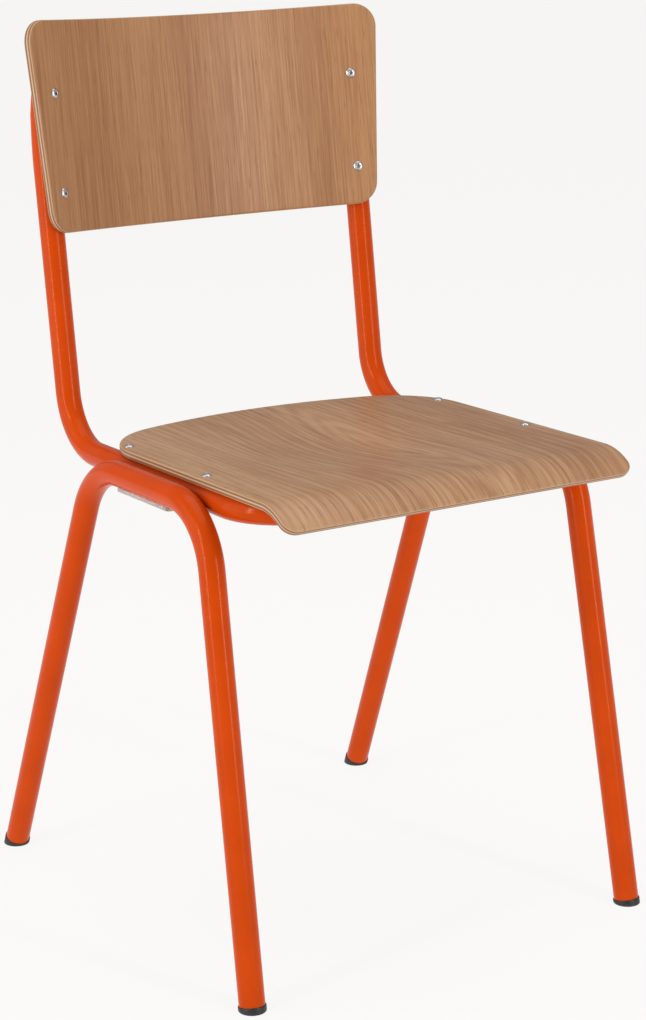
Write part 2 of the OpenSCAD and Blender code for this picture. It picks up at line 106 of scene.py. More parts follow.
def startPoint(name, place):
    # a single vertex, ready to be drawn out into an outline
    clearSelection()
    bpy.ops.mesh.primitive_plane_add(size=0.001, location=place)
    piece = namePiece(name)
    bpy.ops.object.transform_apply(location=True, rotation=True, scale=True)
    bpy.ops.object.mode_set(mode="EDIT")
    bpy.ops.mesh.select_mode(type="VERT")
    bpy.ops.mesh.select_all(action="SELECT")
    bpy.ops.mesh.merge(type="CENTER")
    return piece


def cutThrough(place, way, fill=False, clear=False):
    # cuts all that is shown, and clears what lies behind the cut if asked
    bpy.ops.mesh.select_all(action="SELECT")
    bpy.ops.mesh.bisect(plane_co=place, plane_no=way, use_fill=fill, clear_inner=clear, clear_outer=False)


def settle(piece, place=(0, 0, 0), turn=(0, 0, 0)):
    # puts the piece in place and leaves its object at the origin, unturned
    pickOnly(piece)
    piece.rotation_euler = turn
    piece.location = place
    bpy.ops.object.transform_apply(location=True, rotation=True, scale=True)


def faceOutwards(piece):
    enterMesh(piece)
    bpy.ops.mesh.select_all(action="SELECT")
    bpy.ops.mesh.remove_doubles(threshold=0.000005)
    bpy.ops.mesh.normals_make_consistent(inside=False)
    leaveMesh()


def copyPiece(piece, name):
    pickOnly(piece)
    bpy.ops.object.duplicate(linked=False)
    return namePiece(name)


def mirrorPiece(piece, name):
    twin = copyPiece(piece, name)
    twin.scale.x = -1
    settle(twin)
    faceOutwards(twin)
    return twin


def smoothPiece(piece, angle=40):
    pickOnly(piece)
    bpy.ops.object.shade_smooth_by_angle(angle=radians(angle))


def joinPieces(pieces, name):
    clearSelection()
    for piece in pieces:
        piece.select_set(True)
    bpy.context.view_layer.objects.active = pieces[0]
    bpy.ops.object.join()
    return namePiece(name)


def finishPiece(piece, nodes, material):
    piece.data.materials.clear()
    piece.data.materials.append(material)
    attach(piece, "root")
    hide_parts(*nodes)


def newMaterial(name):
    material = bpy.data.materials.new(name)
    material.use_nodes = True
    nodes = material.node_tree.nodes
    return material, nodes, material.node_tree.links, nodes["Principled BSDF"]


def addNode(nodes, kind, settings=None, **values):
    node = nodes.new(kind)
    for key, value in (settings or {}).items():
        setattr(node, key, value)
    for key, value in values.items():
        node.inputs[key].default_value = value
    return node


def addBump(nodes, links, height, shader, strength, depth):
    bump = addNode(nodes, "ShaderNodeBump", Strength=strength, Distance=depth)
    links.new(height, bump.inputs["Height"])
    links.new(bump.outputs["Normal"], shader.inputs["Normal"])


def mathNode(nodes, links, operation, first, second=None, clamp=False):
    node = nodes.new("ShaderNodeMath")
    node.operation = operation
    node.use_clamp = clamp
    for index, value in enumerate((first, second)):
        if value is None:
            continue
        if isinstance(value, (int, float)):
            node.inputs[index].default_value = value
        else:
            links.new(value, node.inputs[index])
    return node.outputs[0]


def stretched(nodes, links, vector, scale):
    node = nodes.new("ShaderNodeVectorMath")
    node.operation = "MULTIPLY"
    node.inputs[1].default_value = scale
    links.new(vector, node.inputs[0])
    return node.outputs[0]


def noiseValue(nodes, links, vector, scale, detail=4.0, roughness=0.55):
    node = nodes.new("ShaderNodeTexNoise")
    node.inputs["Scale"].default_value = scale
    node.inputs["Detail"].default_value = detail
    node.inputs["Roughness"].default_value = roughness
    links.new(vector, node.inputs["Vector"])
    return node.outputs["Fac"]


def rampColour(nodes, links, value, stops):
    node = nodes.new("ShaderNodeValToRGB")
    ramp = node.color_ramp
    while len(ramp.elements) < len(stops):
        ramp.elements.new(0.5)
    for element, (place, colour) in zip(ramp.elements, stops):
        element.position = place
        element.color = (*colour, 1)
    links.new(value, node.inputs["Fac"])
    return node.outputs["Color"]


def rangeValue(nodes, links, value, low, high, toLow, toHigh):
    node = nodes.new("ShaderNodeMapRange")
    node.interpolation_type = "SMOOTHSTEP"
    for key, number in (("From Min", low), ("From Max", high), ("To Min", toLow), ("To Max", toHigh)):
        node.inputs[key].default_value = number
    links.new(value, node.inputs["Value"])
    return node.outputs["Result"]


def mixColour(nodes, links, share, first, second, blend="MIX"):
    node = nodes.new("ShaderNodeMix")
    node.data_type = "RGBA"
    node.blend_type = blend
    sockets = [socket for socket in node.inputs if socket.enabled]
    for socket, value in zip(sockets, (share, first, second)):
        if isinstance(value, (int, float)):
            socket.default_value = value
        elif isinstance(value, tuple):
            socket.default_value = (*value, 1)
        else:
            links.new(value, socket)
    return [socket for socket in node.outputs if socket.enabled][0]


paint = {
    "deep": (0.515, 0.049, 0.0008),
    "light": (0.565, 0.056, 0.0015),
    "roughness": (0.16, 0.25),
    "roughScale": 120,
    "gloss": 0.16,
    "glossTint": (1.0, 0.72, 0.50),
    "peelScale": 900,           # orange-peel waves of the powder coat, per metre
    "peelHeight": 0.00002,
    "peelStrength": 0.25,
    "cloudScale": 26,
}


def makePaint():
    material, nodes, links, shader = newMaterial("orangePowderCoat")
    place = addNode(nodes, "ShaderNodeTexCoord").outputs["Object"]
    cloud = noiseValue(nodes, links, place, paint["cloudScale"], 3)
    colour = rampColour(nodes, links, cloud, [(0.30, paint["deep"]), (0.72, paint["light"])])
    links.new(colour, shader.inputs["Base Color"])
    handling = noiseValue(nodes, links, place, paint["roughScale"], 4)
    links.new(rangeValue(nodes, links, handling, 0.3, 0.7, *paint["roughness"]), shader.inputs["Roughness"])
    peel = noiseValue(nodes, links, place, paint["peelScale"], 2)
    addBump(nodes, links, peel, shader, paint["peelStrength"], paint["peelHeight"])
    shader.inputs["Specular IOR Level"].default_value = paint["gloss"]
    shader.inputs["Specular Tint"].default_value = (*paint["glossTint"], 1)
    return material


oak = {
    "pale": (0.560, 0.330, 0.168),
    "middle": (0.452, 0.240, 0.112),
    "dark": (0.330, 0.156, 0.067),
    "pore": (0.215, 0.098, 0.041),
    "plyLight": (0.560, 0.350, 0.200),
    "plyDark": (0.230, 0.110, 0.050),
    "glue": (0.085, 0.042, 0.022),
    "plies": 5,
    "ringSpacing": 0.0075,
    "ringJitter": 3.4,          # how far the rings stray, in rings
    "toneStops": (0.38, 0.56, 0.76),
    # waves per metre across, along and into the veneer
    "wanderScale": (7, 1.6, 0),
    "jitterScale": (34, 1.8, 0),
    "bandScale": (11, 0.7, 0),
    "fibreScale": (820, 11, 0),
    "streakScale": (240, 2.2, 0),
    "poreScale": (1150, 46, 0),
    "frayScale": (300, 300, 2600),
    # how much each of them darkens the wood
    "bandShare": 0.69,
    "streakShare": 0.38,
    "fibreShare": 0.85,
    "poreShare": (0.25, 0.55),  # anywhere, and more in early wood
    "poreRange": (0.56, 0.70),
    "frayShare": 0.55,
    "gluedSeam": (0.02, 0.10, 0.75),
    "faceDepth": (0.0006, 0.0012),
    "roughness": (0.40, 0.56),
    "bump": (0.35, 0.00012),
    "gloss": 0.36,
    "coat": 0.08,
    "coatRoughness": 0.30,
}


def makeOak(name, grain):
    # grain says where the log's centre lies, how the rings wander and show, and the veneer's tint
    material, nodes, links, shader = newMaterial(name)
    place = addNode(nodes, "ShaderNodeAttribute", {"attribute_name": "boardPlace"}).outputs["Vector"]
    split = addNode(nodes, "ShaderNodeSeparateXYZ")
    links.new(place, split.inputs[0])
    across, along, depth = split.outputs
    shift = nodes.new("ShaderNodeVectorMath")
    shift.inputs[1].default_value = grain["seed"]
    links.new(place, shift.inputs[0])
    veneer = shift.outputs[0]

    def combine(operation, first, second=None, clamp=False):
        return mathNode(nodes, links, operation, first, second, clamp)

    def waves(scale, detail, roughness, vector=veneer):
        return noiseValue(nodes, links, stretched(nodes, links, vector, oak[scale]), 1, detail, roughness)

    # the rings wander a little across the board
    wander = combine("MULTIPLY", combine("SUBTRACT", waves("wanderScale", 2, 0.5), 0.5), grain["wander"])
    ringAcross = combine("ADD", combine("SUBTRACT", across, grain["centre"]), wander)
    lift = combine("ADD", combine("MULTIPLY", along, grain["slope"]), grain["lift"])
    squares = combine("ADD", combine("MULTIPLY", ringAcross, ringAcross), combine("MULTIPLY", lift, lift))
    growth = combine("DIVIDE", combine("SQRT", squares), oak["ringSpacing"])
    jitter = combine("MULTIPLY", waves("jitterScale", 4, 0.65), oak["ringJitter"])
    ring = combine("FRACT", combine("ADD", growth, jitter))
    fromMiddle = combine("ABSOLUTE", combine("SUBTRACT", ring, 0.55))
    ringShade = rangeValue(nodes, links, fromMiddle, 0.1, 0.5, 0.0, 1.0)

    bands = waves("bandScale", 4, 0.55)
    fibre = waves("fibreScale", 4, 0.65)
    streak = waves("streakScale", 4, 0.65)
    tone = combine("ADD", combine("MULTIPLY", bands, oak["bandShare"]),
                   combine("MULTIPLY", streak, oak["streakShare"]))
    tone = combine("ADD", tone, combine("MULTIPLY", combine("SUBTRACT", fibre, 0.5), oak["fibreShare"]))
    tone = combine("ADD", tone, combine("MULTIPLY", ringShade, grain["ringShare"]))
    stops = list(zip(oak["toneStops"], (oak["pale"], oak["middle"], oak["dark"])))
    face = rampColour(nodes, links, tone, stops)
    face = mixColour(nodes, links, 1.0, face, grain["tint"], "MULTIPLY")

    # open pores: short dark dashes, gathered in the early wood of each ring
    dashes = rangeValue(nodes, links, waves("poreScale", 2, 0.5), *oak["poreRange"], 0.0, 1.0)
    anywhere, early = oak["poreShare"]
    gathered = combine("ADD", anywhere, combine("MULTIPLY", ringShade, early))
    pores = combine("MULTIPLY", dashes, gathered, True)
    face = mixColour(nodes, links, pores, face, oak["pore"])

    # sawn edge: plies show by their depth below the face
    layer = combine("MULTIPLY", depth, oak["plies"] / chair["plyThickness"])
    odd = combine("MODULO", combine("FLOOR", layer), 2)
    fray = combine("SUBTRACT", waves("frayScale", 3, 0.6, place), 0.5)
    fray = combine("MULTIPLY", fray, oak["frayShare"])
    edge = mixColour(nodes, links, combine("ADD", odd, fray, True), oak["plyLight"], oak["plyDark"])
    seam = combine("FRACT", combine("ADD", layer, 0.5))
    seam = combine("ABSOLUTE", combine("SUBTRACT", seam, 0.5))
    seamNear, seamFar, seamShare = oak["gluedSeam"]
    glued = rangeValue(nodes, links, seam, seamNear, seamFar, seamShare, 0.0)
    edge = mixColour(nodes, links, glued, edge, oak["glue"])
    thin, thick = oak["faceDepth"]
    ply = chair["plyThickness"]
    inside = combine("MULTIPLY", rangeValue(nodes, links, depth, thin, thick, 0.0, 1.0),
                     rangeValue(nodes, links, depth, ply - thick, ply - thin, 1.0, 0.0))
    links.new(mixColour(nodes, links, inside, face, edge), shader.inputs["Base Color"])

    links.new(rangeValue(nodes, links, fibre, 0.3, 0.7, *oak["roughness"]), shader.inputs["Roughness"])
    height = combine("SUBTRACT", combine("MULTIPLY", fibre, 0.35), pores)
    addBump(nodes, links, height, shader, *oak["bump"])
    shader.inputs["Specular IOR Level"].default_value = oak["gloss"]
    shader.inputs["Coat Weight"].default_value = oak["coat"]
    shader.inputs["Coat Roughness"].default_value = oak["coatRoughness"]
    return material


metal = {
    "grimeScale": 700,
    "grimeShade": 0.72,
    "scratchScale": (9000, 900, 2500),
    "scratchHeight": 0.00002,
}


def makeMetal(name, colour, roughness, scratch):
    material, nodes, links, shader = newMaterial(name)
    place = addNode(nodes, "ShaderNodeTexCoord").outputs["Object"]
    grime = noiseValue(nodes, links, place, metal["grimeScale"], 4)
    dull = tuple(metal["grimeShade"] * channel for channel in colour)
    links.new(rampColour(nodes, links, grime, [(0.25, dull), (0.6, colour)]), shader.inputs["Base Color"])
    links.new(rangeValue(nodes, links, grime, 0.3, 0.8, roughness + 0.12, roughness - 0.04),
              shader.inputs["Roughness"])
    lines = noiseValue(nodes, links, stretched(nodes, links, place, metal["scratchScale"]), 1, 3)
    addBump(nodes, links, lines, shader, scratch, metal["scratchHeight"])
    shader.inputs["Metallic"].default_value = 1.0
    return material


capPlastic = {
    "dark": (0.006, 0.006, 0.0065),
    "grey": (0.014, 0.0135, 0.013),
    "scuffed": (0.075, 0.070, 0.065),
    "scuffHeight": 0.0025,      # above the floor
    "mottleScale": 420,
    "roughness": (0.38, 0.55),
    "bumpScale": 1600,
    "bump": (0.3, 0.00005),
}


def makeCapPlastic():
    material, nodes, links, shader = newMaterial("blackFootPlastic")
    place = addNode(nodes, "ShaderNodeTexCoord").outputs["Object"]
    split = addNode(nodes, "ShaderNodeSeparateXYZ")
    links.new(place, split.inputs[0])
    mottle = noiseValue(nodes, links, place, capPlastic["mottleScale"], 5)
    low = rangeValue(nodes, links, split.outputs[2], 0.0, capPlastic["scuffHeight"], 1.0, 0.0)
    patchy = rangeValue(nodes, links, mottle, 0.45, 0.62, 0.0, 1.0)
    scuff = mathNode(nodes, links, "MULTIPLY", low, patchy)
    colour = rampColour(nodes, links, mottle, [(0.3, capPlastic["dark"]), (0.7, capPlastic["grey"])])
    colour = mixColour(nodes, links, scuff, colour, capPlastic["scuffed"])
    links.new(colour, shader.inputs["Base Color"])
    rough = rangeValue(nodes, links, mottle, 0.3, 0.7, *capPlastic["roughness"])
    links.new(rough, shader.inputs["Roughness"])
    fine = noiseValue(nodes, links, place, capPlastic["bumpScale"], 2)
    addBump(nodes, links, fine, shader, *capPlastic["bump"])
    return material


clearPlastic = {
    "yellowed": (0.78, 0.72, 0.68),
    "clean": (0.90, 0.87, 0.84),
    "mottleScale": 160,
    "roughness": (0.30, 0.42),
    "bumpScale": 900,
    "bump": (0.2, 0.00005),
    "seeThrough": 0.70,
}


def makeMilkyPlastic():
    material, nodes, links, shader = newMaterial("milkyPadPlastic")
    place = addNode(nodes, "ShaderNodeTexCoord").outputs["Object"]
    mottle = noiseValue(nodes, links, place, clearPlastic["mottleScale"], 4)
    stops = [(0.3, clearPlastic["yellowed"]), (0.7, clearPlastic["clean"])]
    links.new(rampColour(nodes, links, mottle, stops), shader.inputs["Base Color"])
    rough = rangeValue(nodes, links, mottle, 0.3, 0.7, *clearPlastic["roughness"])
    links.new(rough, shader.inputs["Roughness"])
    fine = noiseValue(nodes, links, place, clearPlastic["bumpScale"], 3)
    addBump(nodes, links, fine, shader, *clearPlastic["bump"])
    shader.inputs["Transmission Weight"].default_value = clearPlastic["seeThrough"]
    return material


orangePaint = makePaint()
seatOak = makeOak("seatOak", {
    "seed": (3.1, 1.7, 0.0), "centre": 0.035, "slope": 0.16, "lift": 0.010, "wander": 0.035,
    "ringShare": 0.12, "tint": (0.90, 0.90, 0.95)})
backOak = makeOak("backOak", {
    "seed": (8.4, 5.2, 0.0), "centre": -0.26, "slope": 0.05, "lift": 0.05, "wander": 0.020,
    "ringShare": 0.025, "tint": (0.73, 0.62, 0.52)})
rivetAluminium = makeMetal("brightRivetAluminium", (0.60, 0.60, 0.62), 0.24, 0.25)
# near-black steel: partly the stems' own darker steel, mostly painted shade for the dark holes in the
# rivets' bores
stemSteelAndBoreShade = makeMetal("stemSteelWithPaintedBoreShade", (0.020, 0.019, 0.019), 0.60, 0.4)
footPlastic = makeCapPlastic()
padPlastic = makeMilkyPlastic()
print("materials made")


tubeMesh = {
    "around": 48,
    "bendSteps": 20,
    "pressSteps": 22,
    "crossSteps": 6,
    "railSteps": 12,
    "uprightSteps": 10,
    "legSteps": 16,
    "topSteps": 8,
}


def startTube(name, centre, along):
    clearSelection()
    turn = Vector(along).to_track_quat("Z", "Y").to_euler()
    bpy.ops.mesh.primitive_circle_add(vertices=tubeMesh["around"], radius=chair["tubeRadius"],
                                      location=centre, rotation=turn)
    piece = namePiece(name)
    bpy.ops.object.transform_apply(location=True, rotation=True, scale=True)
    bpy.ops.object.mode_set(mode="EDIT")
    bpy.ops.mesh.select_all(action="SELECT")
    return piece


def runTube(way, steps=1):
    for _ in range(steps):
        bpy.ops.mesh.extrude_region_move(TRANSFORM_OT_translate={"value": Vector(way) / steps})


def bendTube(centre, axis, angle):
    # the spin operator turns clockwise round its axis
    bpy.ops.mesh.spin(steps=tubeMesh["bendSteps"], angle=-radians(angle), center=centre, axis=axis)


def bendReach(radius, angle):
    return radius * tan(radians(angle) / 2)


mainTube = {
    "bendRadius": 0.054,
    "endHeight": 0.72856,       # along the lean, from the floor
    "pressedLength": 0.072,
    "pressedThickness": 0.005,
    "gentleThickness": 0.01694,  # where the press starts to bite
    "gentleShare": 0.6,
    "turn": 23.74,              # the pressed ends face the curved backrest
    "tipRound": 0.0009,
}


def pressedThickness(share):
    # thickness of the tube along its pressed end: slow at first, then down to the flat tip
    full, gentle, thin = 2 * chair["tubeRadius"], mainTube["gentleThickness"], mainTube["pressedThickness"]
    if share < mainTube["gentleShare"]:
        return full - (full - gentle) * (share / mainTube["gentleShare"]) ** 1.5
    late = (share - mainTube["gentleShare"]) / (1 - mainTube["gentleShare"])
    return gentle - (gentle - thin) * late


def pressPoint(point):
    # a point of the round tube, in the upright's own frame, goes to the oblong of the same girth
    share = min(1, max(0, point.z / mainTube["pressedLength"]))
    thick = pressedThickness(share)
    radius = chair["tubeRadius"]
    side = 1 if point.x >= 0 else -1
    girth = radius * acos(max(-1, min(1, -point.y / radius)))   # from the middle of the front
    flat = pi * (2 * radius - thick) / 4
    if girth < flat:
        across, back = girth, 0
    elif girth < flat + pi * thick / 2:
        angle = (girth - flat) / (thick / 2)
        across, back = flat + thick / 2 * sin(angle), thick / 2 * (1 - cos(angle))
    else:
        across, back = pi * radius - girth, thick
    return Vector((side * across, back - radius, point.z))


def makeMainTube():
    radius, bend = chair["tubeRadius"], mainTube["bendRadius"]
    crossY = tubeLow.y + radius + chair["bendGrowth"]
    railZ, railX = chair["railZ"], chair["railX"]
    rise = 90 - chair["lean"]
    piece = startTube("mainTube", (0, crossY, railZ), (1, 0, 0))
    runTube((railX - bend, 0, 0), tubeMesh["crossSteps"])
    bendTube((railX - bend, crossY + bend, railZ), (0, 0, 1), 90)
    bendY = chair["uprightY"] - bendReach(bend, rise)
    runTube((0, bendY - crossY - bend, 0), tubeMesh["railSteps"])
    bendTube((railX, bendY, railZ + bend), (1, 0, 0), rise)
    foot = Vector((railX, chair["uprightY"], railZ)) + bendReach(bend, rise) * leanWay
    pressStart = leanFoot + (mainTube["endHeight"] - mainTube["pressedLength"]) * leanWay
    straight = (pressStart - foot).dot(leanWay)
    runTube(straight * leanWay, tubeMesh["uprightSteps"])
    runTube(mainTube["pressedLength"] * leanWay, tubeMesh["pressSteps"])
    leaveMesh()

    # the upper end, squeezed flat against the backrest
    start = pressStart + Vector((railX, 0, 0))
    upright = Matrix.Translation(start) @ Matrix.Rotation(-radians(chair["lean"]), 4, "X") \
        @ Matrix.Rotation(-radians(mainTube["turn"]), 4, "Z")
    toUpright = upright.inverted()
    for vertex in piece.data.vertices:
        local = toUpright @ vertex.co
        if local.z > 0.0001 and vertex.co.y > chair["uprightY"]:
            vertex.co = upright @ pressPoint(local)

    # close the tip with a slightly rounded rim
    enterMesh(piece)
    tip = mainTube["pressedLength"] - 0.0002
    selectPart(piece, "EDGE", lambda edge: edge.is_boundary and all(
        (toUpright @ vertex.co).z > tip and vertex.co.z > railZ + 0.1 for vertex in edge.verts))
    bpy.ops.mesh.edge_face_add()
    selectPart(piece, "EDGE", lambda edge: len(edge.link_faces) == 2 and edge.calc_face_angle(0) > 1
               and all((toUpright @ vertex.co).z > tip for vertex in edge.verts))
    bpy.ops.mesh.bevel(offset=mainTube["tipRound"], segments=3, affect="EDGES")
    leaveMesh()

    mirror = piece.modifiers.new("otherSide", "MIRROR")
    mirror.merge_threshold = 0.00002
    pickOnly(piece)
    bpy.ops.object.modifier_apply(modifier=mirror.name)
    faceOutwards(piece)
    smoothPiece(piece)
    finishPiece(piece, ["seat_back_frame"], orangePaint)
    print("main tube made")


legTube = {
    "frontKneeSetback": 0.104,
    "kneeGap": 0.1945,
    "frontAngle": 9.6,
    "rearAngle": 24.4,
    "splay": 1.5,
    "frontRadius": 0.060,
    "rearRadius": 0.072,
    "rise": 0.0015,
    "weldGap": 0.0002,
}
legX = chair["railX"] + sqrt((2 * chair["tubeRadius"] + legTube["weldGap"]) ** 2 - legTube["rise"] ** 2)
legZ = chair["railZ"] + legTube["rise"]
legDrop = legZ / cos(radians(legTube["splay"]))
kneeY = {"front": chair["frontY"] + legTube["frontKneeSetback"]}
kneeY["rear"] = kneeY["front"] + legTube["kneeGap"]
legAngle = {"front": radians(legTube["frontAngle"]), "rear": radians(legTube["rearAngle"])}
splay = radians(legTube["splay"])

footCap = {
    "rimRadius": 0.0118,
    "leastHeight": 0.0024,
    "edge": 0.0007,
    "cutAway": 0.03,            # length below the floor, cut off level
    "around": 64,
}


def footY(end):
    return kneeY[end] + ends[end] * legDrop * tan(legAngle[end])


def capHeight(end):
    # along the leg, from the floor to the tube's cut end
    tilt = acos(cos(legAngle[end]) * cos(splay))
    return footCap["rimRadius"] * tan(tilt) + footCap["leastHeight"] / cos(tilt)


def legWay(end):
    # up a leg, in the unsplayed plane of its frame
    return Vector((0, -ends[end] * sin(legAngle[end]), cos(legAngle[end])))


def makeLegTubes():
    foot = {end: Vector((0, footY(end), -legDrop)) + capHeight(end) * legWay(end) for end in ends}
    turn = {end: 90 - degrees(legAngle[end]) for end in ends}
    radius = {"front": legTube["frontRadius"], "rear": legTube["rearRadius"]}
    reach = {end: bendReach(radius[end], turn[end]) for end in ends}
    knee = {end: Vector((0, kneeY[end], 0)) for end in ends}
    piece = startTube("rightLegTube", foot["rear"], legWay("rear"))
    runTube(knee["rear"] - reach["rear"] * legWay("rear") - foot["rear"], tubeMesh["legSteps"])
    runY = {end: kneeY[end] - ends[end] * reach[end] for end in ends}
    bendTube((0, runY["rear"], -radius["rear"]), (1, 0, 0), turn["rear"])
    runTube((0, runY["front"] - runY["rear"], 0), tubeMesh["topSteps"])
    bendTube((0, runY["front"], -radius["front"]), (1, 0, 0), turn["front"])
    runTube(foot["front"] - knee["front"] + reach["front"] * legWay("front"), tubeMesh["legSteps"])
    selectPart(piece, "EDGE", lambda edge: edge.is_boundary)
    bpy.ops.mesh.edge_face_add()
    leaveMesh()
    settle(piece, (legX, 0, legZ), (0, -splay, 0))
    faceOutwards(piece)
    smoothPiece(piece)
    twin = mirrorPiece(piece, "leftLegTube")
    smoothPiece(twin)
    finishPiece(piece, ["right_leg_frame"], orangePaint)
    finishPiece(twin, ["left_leg_frame"], orangePaint)
    print("leg tubes made")


def makeFootCaps():
    for end in ends:
        height = capHeight(end)
        clearSelection()
        bpy.ops.mesh.primitive_cylinder_add(
            vertices=footCap["around"], radius=footCap["rimRadius"],
            depth=height + footCap["cutAway"], location=(0, 0, (height - footCap["cutAway"]) / 2))
        piece = namePiece(end + "RightFootCap")
        bpy.ops.object.transform_apply(location=True, rotation=True, scale=True)
        settle(piece, (0, 0, 0), (ends[end] * legAngle[end], 0, 0))
        settle(piece, (0, footY(end), -legDrop))
        settle(piece, (legX, 0, legZ), (0, -splay, 0))
        enterMesh(piece)
        cutThrough((0, 0, 0), (0, 0, 1), fill=True, clear=True)
        selectPart(piece, "EDGE", lambda edge: edge.calc_face_angle(0) > 0.6)
        bpy.ops.mesh.bevel(offset=footCap["edge"], segments=3, affect="EDGES")
        leaveMesh()
        faceOutwards(piece)
        smoothPiece(piece, 30)
        twin = mirrorPiece(piece, end + "LeftFootCap")
        smoothPiece(twin, 30)
        finishPiece(piece, [end + "_right_foot_cap"], footPlastic)
        finishPiece(twin, [end + "_left_foot_cap"], footPlastic)
    print("foot caps made")


board = {"edgeRound": 0.0021, "edgeSteps": 4, "cell": 0.006}


def drawLine(start, finish):
    bpy.ops.mesh.extrude_region_move(TRANSFORM_OT_translate={
        "value": (finish[0] - start[0], finish[1] - start[1], 0)})


def drawArc(centre, angle, steps):
    bpy.ops.mesh.spin(steps=steps, angle=-radians(angle), center=(*centre, 0), axis=(0, 0, 1))


def outlineToBoard(piece):
    # mirror the half outline, fill it, give it its thickness, round its rims and cut it into cells
    leaveMesh()
    mirror = piece.modifiers.new("otherHalf", "MIRROR")
    mirror.merge_threshold = 0.00002
    pickOnly(piece)
    bpy.ops.object.modifier_apply(modifier=mirror.name)
    enterMesh(piece)
    bpy.ops.mesh.select_all(action="SELECT")
    bpy.ops.mesh.remove_doubles(threshold=0.00001)
    bpy.ops.mesh.edge_face_add()
    bpy.ops.mesh.extrude_region_move(TRANSFORM_OT_translate={"value": (0, 0, -chair["plyThickness"])})
    bpy.ops.mesh.select_all(action="SELECT")
    bpy.ops.mesh.normals_make_consistent(inside=False)
    selectPart(piece, "EDGE", lambda edge: edge.calc_face_angle(0) > 1)
    bpy.ops.mesh.bevel(offset=board["edgeRound"], segments=board["edgeSteps"], affect="EDGES")
    cage = bmesh.from_edit_mesh(piece.data)
    low = Vector(min(vertex.co[axis] for vertex in cage.verts) for axis in range(3))
    high = Vector(max(vertex.co[axis] for vertex in cage.verts) for axis in range(3))
    for axis in (0, 1):
        count = round((high[axis] - low[axis]) / board["cell"])
        normal = Vector((1 - axis, axis, 0))
        for cut in range(1, count):
            spot = low[axis] + (high[axis] - low[axis]) * cut / count
            cutThrough(normal * spot, normal)
    bpy.ops.mesh.select_all(action="SELECT")
    bpy.ops.mesh.remove_doubles(threshold=0.0001)
    leaveMesh()


def bendBoard(piece, shape):
    # each point keeps its place in the flat veneer, for the grain, and goes where the press puts it
    places = [vertex.co.copy() for vertex in piece.data.vertices]
    store = piece.data.attributes.new("boardPlace", "FLOAT_VECTOR", "POINT")
    for index, place in enumerate(places):
        store.data[index].vector = (place.x, place.y, -place.z)
        piece.data.vertices[index].co = shape(place.x, place.y, -place.z)
    piece.data.update()


seat = {
    "width": 0.340,
    "depth": 0.348,
    "rearRadius": 0.415,
    "rearCorner": 0.078,
    "frontCorner": 0.0125,
    "rollRadius": 0.0535,
    "rollAngle": 48,
    "dish": 0.009,
}


def makeSeat():
    half = seat["width"] / 2
    rollY = chair["frontY"] + seat["rollRadius"] * sin(radians(seat["rollAngle"]))
    frontY = rollY - seat["rollRadius"] * radians(seat["rollAngle"])      # of the flat board
    rearY = chair["frontY"] + seat["depth"]
    arcY = rearY - seat["rearRadius"]
    cornerX = half - seat["rearCorner"]
    between = seat["rearRadius"] - seat["rearCorner"]
    cornerY = arcY + sqrt(between ** 2 - cornerX ** 2)
    sweep = degrees(acos(cornerX / between))
    small = seat["frontCorner"]

    piece = startPoint("seatBoard", (0, frontY, 0))
    drawLine((0, frontY), (half - small, frontY))
    drawArc((half - small, frontY + small), 90, 10)
    drawLine((half, frontY + small), (half, cornerY))
    drawArc((cornerX, cornerY), sweep, 18)
    drawArc((0, arcY), 90 - sweep, 16)
    outlineToBoard(piece)

    dishHalf = chair["railX"] - chair["tubeRadius"]
    dishLong = (rearY - rollY) / 2

    def bump(share):
        return cos(radians(90 * share)) ** 2 if abs(share) < 1 else 0

    def shape(x, y, depth):
        if y >= rollY:
            hollow = seat["dish"] * bump(x / dishHalf) * bump((y - rearY + dishLong) / dishLong)
            return Vector((x, y, chair["seatTop"] - depth - hollow))
        angle = (rollY - y) / seat["rollRadius"]
        radius = seat["rollRadius"] - depth
        rollZ = chair["seatTop"] - seat["rollRadius"]
        return Vector((x, rollY - radius * sin(angle), rollZ + radius * cos(angle)))

    bendBoard(piece, shape)
    faceOutwards(piece)
    smoothPiece(piece, 50)
    finishPiece(piece, ["seat_panel"], seatOak)
    print("seat made,", len(piece.data.polygons), "faces")


backrest = {
    "height": 0.185,
    "topHalf": 0.188,           # along the curve
    "bottomHalf": 0.175,
    "bottomHeight": 0.59406,    # along the lean, from the floor
    "radius": 0.380,
    "corner": 0.021,
    "gap": 0.0001,
}
# from the axis of the backrest's curve to the axis of an upright
backReach = backrest["radius"] + chair["plyThickness"] + backrest["gap"] \
    + chair["tubeRadius"] + chair["bendGrowth"]
backAxisY = -sqrt(backReach ** 2 - chair["railX"] ** 2)
backTurn = asin(chair["railX"] / backReach)


def leanPoint(x, back, height):
    # from the backrest's upright frame to the chair's
    lean = radians(chair["lean"])
    outY = back * cos(lean) + height * sin(lean)
    return leanFoot + Vector((x, outY, height * cos(lean) - back * sin(lean)))


